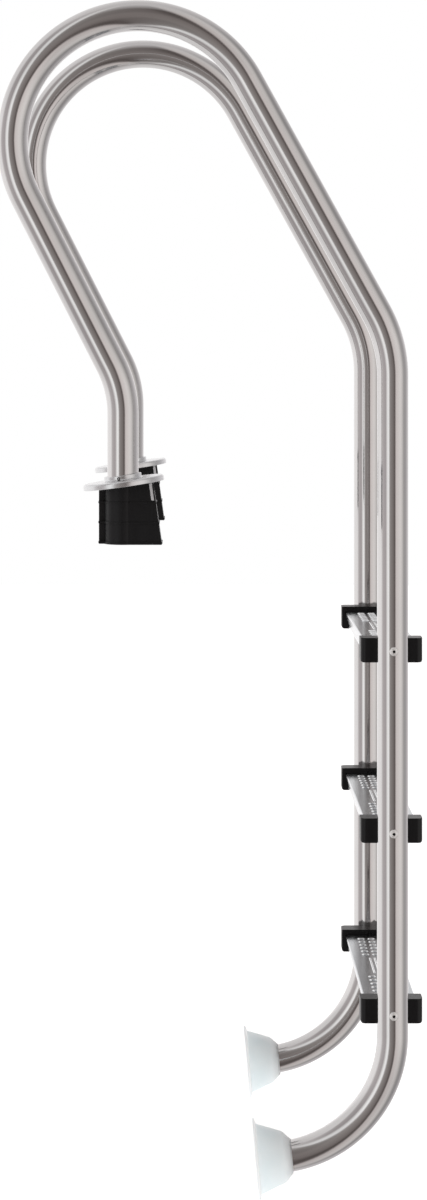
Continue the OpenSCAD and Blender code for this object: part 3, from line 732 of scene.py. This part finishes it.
def build_foot(side, sign):
    """A foot on the end of a rail, turned from Z to the way the tube comes out of it."""
    face = RAIL.here + FOOT_WEB * Vector((cos(RAIL.heading), sin(RAIL.heading)))
    place = (Matrix.Translation((face.x, sign * RAIL_Y, face.y))
             @ Matrix.Rotation(3 * pi / 2 - RAIL.heading, 4, "Y"))
    mesh = mesh_from("wall_pad_" + side, lambda bm: turn(bm, foot_section(), 96), place)
    piece("wall_pad_" + side, mesh, "ladder", FOOT_PVC, ["wall_foot_" + side],
          sharp=50)


# ---------------------------------------------------------------- treads

TREAD_W, TREAD_H, SHEET_T = 75, 26, 1.2
SKIRT_LEAN = 13
HEM_W = 6
FOLD_R = 2.6
# Tab across each end of the tread, which the bolts pass through
TAB_W, TAB_END, TAB_CORNER_R = 40, 18, 3
# Ribs across the tread: length, width, height, then how they are set out
RIB_LEN, RIB_W, RIB_H = 11.5, 8, 1.45
FIRST_RIB_Y, RIB_PITCH, RIB_ROWS, RIB_COLUMN = 174.5, 21, 6, 15.5
# Narrow ribs along its middle
GRIP_LEN, GRIP_W, GRIP_H, GRIP_PITCH = 96, 3.2, 0.75, 7


def tread_section():
    """Closed outline of the folded sheet in X and Z, with its bends."""
    top, slant = TREAD_W / 2, tan(radians(SKIRT_LEAN))
    bottom = top - TREAD_H * slant
    run = SHEET_T / cos(radians(SKIRT_LEAN))
    inner_top, inner_bottom = top - run, bottom - run
    hem = inner_bottom - HEM_W
    inner_r = FOLD_R - SHEET_T
    outer = [(hem, -TREAD_H, 0.3), (bottom, -TREAD_H, FOLD_R), (top, 0, FOLD_R)]
    inner = [(inner_top, -SHEET_T, inner_r), (inner_bottom, SHEET_T - TREAD_H, inner_r),
             (hem, SHEET_T - TREAD_H, 0.3)]

    def mirrored(part):
        return [(-x, z, r) for x, z, r in reversed(part)]
    return filleted(outer + mirrored(outer) + mirrored(inner) + inner)


def build_tread(level):
    """A folded tread with its end tabs. Returns the height of its top face."""
    top_z = edge("tread_cap_%s_left" % level, 2, True) - CAP_RISE

    def build(bm):
        extrude_y(bm, tread_section(), -TREAD_END_Y, TREAD_END_Y)
        half, root = TAB_W / 2, -SHEET_T / 2
        tab = filleted([(-half, -TAB_END, TAB_CORNER_R), (half, -TAB_END, TAB_CORNER_R),
                        (half, root, 0), (-half, root, 0)])
        for sign in SIDES.values():
            ends = sorted((sign * TREAD_END_Y, sign * (TREAD_END_Y - SHEET_T)))
            extrude_y(bm, tab, *ends)
    mesh = mesh_from("folded_tread_" + level, build, Matrix.Translation((REACH, 0, top_z)))
    piece("folded_tread_" + level, mesh, "ladder", SHEET, ["tread_" + level])
    return top_z


def pressed_rib(length, width, height):
    """A rib pressed up from the sheet: a long crown that falls off steeply at its edge. It
    is closed below, and sunk a little into the sheet."""
    def build(bm):
        across, around, sunk = 6, 28, 0.05
        rings = []
        for i in range(across + 1):
            t = i / across
            lift = height * (1 - t ** 3) - sunk
            half_w, half_l = width / 2 * t, (length - width) / 2
            ring = []
            for k in range(around):
                angle = 2 * pi * k / around
                x = half_w * cos(angle) + (half_l if cos(angle) > 0 else -half_l)
                ring.append(bm.verts.new((x, half_w * sin(angle), lift)))
            rings.append(ring)
        for low, high in zip(rings, rings[1:]):
            for k in range(around):
                j = (k + 1) % around
                bm.faces.new((low[k], low[j], high[j], high[k]))
        bm.faces.new(rings[-1])
    return mesh_from("pressed_rib", build)


def build_ribs(tops):
    """Cross ribs in a zone at each end of every tread, and narrow ribs along its middle."""
    across, along = (0, 0, 0), (0, 0, pi / 2)
    ribs = [((REACH + column * RIB_COLUMN, sign * (FIRST_RIB_Y - row * RIB_PITCH), z), across)
            for z in tops for sign in SIDES.values()
            for row in range(RIB_ROWS) for column in (-1, 0, 1)]
    grips = [((REACH + column * GRIP_PITCH, 0, z), along)
             for z in tops for column in (-1.5, -0.5, 0.5, 1.5)]
    sets = (("tread_ribs", pressed_rib(RIB_LEN, RIB_W, RIB_H), ribs),
            ("tread_grips", pressed_rib(GRIP_LEN, GRIP_W, GRIP_H), grips))
    for name, part, places in sets:
        # The ribs are brighter than the sheet: partly wear, partly painted highlight
        mesh = set_out(name, part, places, RIB_STEEL_HIGHLIT)
        piece(name, mesh, "ladder", RIB_STEEL_HIGHLIT, sharp=60)


# ---------------------------------------------------------------- fasteners

# M6 bolts, washers and nuts of the treads
BOLT_LEN, BOLT_R, BOLT_PITCH, PLAIN_SHANK = 60, 3.0, 1.0, 36
BUTTON_R, BUTTON_H, BUTTON_RIM, BUTTON_SWEEP = 6, 3.4, 0.9, 1.05
WASHER_R, WASHER_BORE, WASHER_T = 5.25, 3.3, 1.2
NUT_W, NUT_BORE, NUT_H = 10, 3.05, 5
# M8 bolt and washer of a clamp
CLAMP_R, CLAMP_PITCH, CLAMP_LEN, CLAMP_HEAD_H, CLAMP_HEAD_W = 4.0, 1.25, 60, 5.3, 13
CLAMP_WASHER_R, CLAMP_WASHER_BORE, CLAMP_WASHER_T = 8, 4.3, 1.6
# A disc of painted shade in the key recess, as radius and height above the head's seat
KEY_SHADE_DISC = [(0, 1.3), (1.9, 1.3), (1.9, 2.0), (1.5, 1.8), (0, 1.7)]


def button_bolt():
    """M6 button-head bolt, its head up from 0 and its shank down."""
    key, arc = hexagon(4), BUTTON_H - BUTTON_RIM
    dome = []
    for i in range(8, -1, -1):
        angle = BUTTON_SWEEP * i / 8
        height = BUTTON_RIM + arc * sin(angle) / sin(BUTTON_SWEEP)
        dome.append((BUTTON_R * cos(angle), min(height, BUTTON_H)))
    stations = [(0, 1.0), (key, 1.2), (key, BUTTON_H - 0.35), (2.65, BUTTON_H)]
    stations += dome
    stations += [(BUTTON_R, 0.25), (BUTTON_R - 0.25, 0), (BOLT_R, 0), (BOLT_R, -PLAIN_SHANK)]
    stations += thread(BOLT_R, BOLT_PITCH, -PLAIN_SHANK - 0.5, -(BOLT_LEN - 0.8))
    stations += [(2.3, -BOLT_LEN), (0, -BOLT_LEN)]
    return mesh_from("button_bolt", lambda bm: turn(bm, stations, 36))


def ring_washer(outer_r, inner_r, thickness):
    """Punched washer that lies on 0, its edges broken."""
    stations = [(inner_r, 0.15), (inner_r, thickness - 0.15), (inner_r + 0.15, thickness),
                (outer_r - 0.2, thickness), (outer_r, thickness - 0.2), (outer_r, 0.2),
                (outer_r - 0.2, 0), (inner_r + 0.15, 0), (inner_r, 0.15)]
    return mesh_from("ring_washer", lambda bm: turn(bm, stations, 40))


def hexagon_nut(across, bore_r, height):
    """Nut with chamfered corners, which follow a cone where it cuts the hexagon."""
    flat = hexagon(across)
    corner = across / 2 / cos(pi / 6)

    def chamfered(drop):
        return lambda a: min(flat(a), corner - drop)
    stations = [(bore_r + 0.5, 0), (bore_r, 0.5), (bore_r, height - 0.5),
                (bore_r + 0.5, height), (across / 2 - 0.1, height),
                (chamfered(0.35), height - 0.25), (flat, height - 0.6), (flat, 0.6),
                (chamfered(0.35), 0.25), (across / 2 - 0.1, 0), (bore_r + 0.5, 0)]
    return mesh_from("hexagon_nut", lambda bm: turn(bm, stations, 48))


def build_tread_fasteners(levels):
    """Bolts, washers and nuts at both ends of every tread, one piece of each kind."""
    def at(y):
        return [((REACH, sign * y, z), (-sign * pi / 2, 0, 0))
                for z in levels for sign in SIDES.values()]
    washer_y = TREAD_END_Y - SHEET_T - WASHER_T
    shade_disc = mesh_from("key_plug", lambda bm: turn(bm, KEY_SHADE_DISC, 24))
    sets = (
        ("tread_button_bolts", ["tread_bolts"], button_bolt(), RAIL_Y + TUBE_R, BOLT_STEEL),
        # Dark discs in the key recesses: painted shade
        ("key_recess_grime", [], shade_disc, RAIL_Y + TUBE_R, RECESS_SHADE_PAINT),
        ("tread_ring_washers", ["tread_washers"],
         ring_washer(WASHER_R, WASHER_BORE, WASHER_T), washer_y, FASTENER),
        ("tread_hexagon_nuts", ["tread_nuts"], hexagon_nut(NUT_W, NUT_BORE, NUT_H),
         washer_y - NUT_H, FASTENER))
    for name, nodes, part, y, finish in sets:
        mesh = set_out(name, part, at(y), finish)
        piece(name, mesh, "ladder", finish, nodes)


def build_clamp_bolt(side, sign):
    """M8 hexagon bolt of the wedge clamp, its whole shank threaded."""
    head_h = CLAMP_HEAD_H
    seat = edge("clamp_bolt_" + side, 2, True) - head_h
    flat = hexagon(CLAMP_HEAD_W)
    corner = CLAMP_HEAD_W / 2 / cos(pi / 6)

    def chamfered(angle):
        return min(flat(angle), corner - 0.5)
    stations = [(0, head_h), (6.2, head_h), (chamfered, head_h - 0.4), (flat, head_h - 0.9),
                (flat, 0), (5.8, 0), (CLAMP_R, -0.02), (CLAMP_R, -2)]
    stations += thread(CLAMP_R, CLAMP_PITCH, -2.3, 1 - CLAMP_LEN)
    stations += [(CLAMP_R - 1, -CLAMP_LEN), (0, -CLAMP_LEN)]
    place = Matrix.Translation((middle("clamp_washer_" + side, 0), sign * RAIL_Y, seat))
    mesh = mesh_from("hexagon_bolt_" + side, lambda bm: turn(bm, stations, 36), place)
    piece("hexagon_bolt_" + side, mesh, "bolt_" + side, FASTENER,
          ["clamp_bolt_" + side])


def build_clamp_washer(side, sign):
    """The washer between a clamp bolt's head and its saddle plate."""
    seat = Matrix.Translation((middle("clamp_washer_" + side, 0), sign * RAIL_Y,
                               edge("clamp_washer_" + side, 2, False)))
    mesh = ring_washer(CLAMP_WASHER_R, CLAMP_WASHER_BORE, CLAMP_WASHER_T)
    mesh.transform(Matrix.Scale(MM, 4) @ seat @ Matrix.Scale(1 / MM, 4))
    piece("clamp_ring_washer_" + side, mesh, "deck", FASTENER,
          ["clamp_washer_" + side])


# ---------------------------------------------------------------- cover flanges

FLANGE_R, FLANGE_TILT = 56, 8
SKIRT_H, DISH_RISE, COLLAR_H = 8, 0.5, 6
FLANGE_SHEET, COLLAR_WALL = 1.5, 3.3
FLANGE_LIFT, SLIDE_GAP = 0.3, 0.35


def build_flange(side, sign):
    """A cover flange, turned about the middle of its bore until it lies on the deck."""
    tilt = radians(FLANGE_TILT)
    collar_z = SKIRT_H + DISH_RISE
    collar_top = collar_z + COLLAR_H
    bore_foot = collar_z - FLANGE_SHEET
    bore_r = (TUBE_R + SLIDE_GAP + (collar_top - bore_foot) / 2 * sin(tilt)) / cos(tilt)
    collar_r = bore_r + COLLAR_WALL
    pivot_h = (collar_top + bore_foot) / 2
    pivot_z = FLANGE_LIFT + FLANGE_R * sin(tilt) + pivot_h * cos(tilt)
    inner_r = FLANGE_R - FLANGE_SHEET
    outline = filleted([
        (FLANGE_R, 0, 1.4), (FLANGE_R, SKIRT_H, 3.2), (collar_r, collar_z, 1.8),
        (collar_r, collar_top, 1.0), (bore_r, collar_top, 0.6), (bore_r, bore_foot, 0.4),
        (collar_r, bore_foot, 0.8), (inner_r, SKIRT_H - FLANGE_SHEET, 0.8),
        (inner_r, 0, 0.5)])
    stations = [(p.x, p.y) for p in outline]
    stations.append(stations[0])
    place = (Matrix.Translation((0, sign * RAIL_Y, pivot_z)) @ Matrix.Rotation(-tilt, 4, "Y")
             @ Matrix.Translation((0, 0, -pivot_h)))
    mesh = mesh_from("pressed_flange_" + side, lambda bm: turn(bm, stations, 128), place)
    piece("pressed_flange_" + side, mesh, "flange_" + side, PRESSED,
          ["cover_flange_" + side], sharp=50)


# ---------------------------------------------------------------- building

tread_tops = [build_tread(level) for level in LEVELS]
build_ribs(tread_tops)
build_tread_fasteners([z - BOLT_DROP for z in tread_tops])

for side, sign in SIDES.items():
    build_rail(side, sign)
    build_foot(side, sign)
    build_flange(side, sign)
    build_clamp_bolt(side, sign)
    for level in LEVELS:
        node = "tread_cap_%s_%s" % (level, side)
        refined(node, "moulded_cap_%s_%s" % (level, side), "ladder", CAP_PLASTIC,
                0.7)
    refined("deck_anchor_" + side, "moulded_anchor_" + side, "deck", ANCHOR_PLASTIC,
            0.4)
    refined("clamp_plate_" + side, "saddle_plate_" + side, "deck", PLATED,
            0.3)
    refined("clamp_wedge_" + side, "cast_wedge_" + side, "wedge_" + side, CASTING,
            0.6)
    # The set screws are painted dark: painted shade of the collar
    refined("flange_screw_" + side, "set_screw_" + side, "flange_" + side, SHADE_PAINTED_SCREW,
            0.15)
    build_clamp_washer(side, sign)


# ---------------------------------------------------------------- studio

def build_floor():
    """A wide floor, 4 mm below the wall feet."""
    half = 9.0
    z = cad_bounds[0][2] - 4 * MM
    mesh = bpy.data.meshes.new("floor")
    mesh.from_pydata([(-half, -half, z), (half, -half, z), (half, half, z), (-half, half, z)],
                     [], [(0, 1, 2, 3)])
    floor = bpy.data.objects.new("floor", mesh)
    bpy.context.scene.collection.objects.link(floor)
    mesh.materials.append(studio_floor())
    # The polished tube mirrors the room and not the floor
    floor.visible_glossy = False


def build_world():
    """A white studio that is dark behind the camera, with one tall softbox to its left.
    The shades run round the horizon and give way to a light grey overhead and below."""
    world = bpy.data.worlds.new("studio")
    bpy.context.scene.world = world
    world.use_nodes = True
    tree = world.node_tree
    background = tree.nodes["Background"]
    coords = add_node(tree, "ShaderNodeTexCoord")
    way = add_node(tree, "ShaderNodeSeparateXYZ", {0: coords.outputs["Generated"]})
    toward = add_node(tree, "ShaderNodeMath", {0: way.outputs["Y"], 1: -1.0},
                      operation="MULTIPLY")
    bearing = add_node(tree, "ShaderNodeMath", {0: way.outputs["X"], 1: toward.outputs[0]},
                       operation="ARCTAN2")
    share = add_node(tree, "ShaderNodeMapRange", {
        "Value": bearing.outputs[0], "From Min": -pi, "From Max": pi})
    walls = add_node(tree, "ShaderNodeValToRGB", {0: share.outputs[0]})
    # Bearings are degrees from the camera's side of the room, right being positive
    shades = [(-180, "#F4F2F2"), (-98, "#F4F2F2"), (-82, "#BDB8B8"), (-56, "#AFA9AA"),
              (-49, "#DCDAD9"), (-40, "#FFFFFF"), (-33, "#FFFFFF"), (-25, "#9A9593"),
              (-12, "#8A8482"), (2, "#7B7472"), (8, "#5E5755"), (13, "#665F5D"),
              (20, "#D8D0CE"), (52, "#E6E2E0"), (66, "#DAD6D4"), (84, "#AAA8A7"),
              (102, "#A5A2A3"), (128, "#C8C5C6"), (160, "#E6E3E4"), (180, "#F4F2F2")]
    ramp = walls.color_ramp
    for bearing_degrees, colour in shades[1:-1]:
        ramp.elements.new((bearing_degrees + 180) / 360).color = linear(colour)
    ramp.elements[0].color = linear(shades[0][1])
    ramp.elements[len(shades) - 1].color = linear(shades[-1][1])
    height = add_node(tree, "ShaderNodeMath", {0: way.outputs["Z"]}, operation="ARCSINE")
    high = add_node(tree, "ShaderNodeMapRange", {
        "Value": height.outputs[0], "From Min": radians(45), "From Max": radians(80)})
    low = add_node(tree, "ShaderNodeMapRange", {
        "Value": height.outputs[0], "From Min": radians(-62), "From Max": radians(-85)})
    lit = add_node(tree, "ShaderNodeMix", {
        "Factor": high.outputs[0], 6: walls.outputs[0], 7: linear("#DEDBDB")},
        data_type="RGBA")
    room = add_node(tree, "ShaderNodeMix", {
        "Factor": low.outputs[0], 6: lit.outputs[2], 7: linear("#CDC9C8")},
        data_type="RGBA")
    tree.links.new(room.outputs[2], background.inputs["Color"])
    # The room is a little darker away from the horizon
    steep = add_node(tree, "ShaderNodeMath", {0: height.outputs[0]}, operation="ABSOLUTE")
    strength = add_node(tree, "ShaderNodeMapRange", {
        "Value": steep.outputs[0], "From Min": radians(12), "From Max": radians(26),
        "To Min": 1.3, "To Max": 1.05})
    tree.links.new(strength.outputs[0], background.inputs["Strength"])
    # What the camera sees past the ladder is plain white
    plain = add_node(tree, "ShaderNodeBackground", {"Color": (1, 1, 1, 1), "Strength": 1.0})
    ray = add_node(tree, "ShaderNodeLightPath")
    both = add_node(tree, "ShaderNodeMixShader", {
        0: ray.outputs["Is Camera Ray"], 1: background.outputs[0], 2: plain.outputs[0]})
    tree.links.new(both.outputs[0], tree.nodes["World Output"].inputs["Surface"])


def build_camera():
    """A long lens level with the handrails, shifted down to take in the wall feet."""
    data = bpy.data.cameras.new("camera")
    data.lens = 80.54
    data.sensor_width = 36
    data.shift_x = 0.02625
    data.shift_y = -0.2175
    data.clip_end = 60
    camera = bpy.data.objects.new("camera", data)
    bpy.context.scene.collection.objects.link(camera)
    camera.location = (0.0815, -3.952, 0.2096)
    camera.rotation_euler = (pi / 2, 0, 0)
    bpy.context.scene.camera = camera


build_floor()
build_world()
build_camera()
bpy.context.scene.view_settings.view_transform = "Standard"
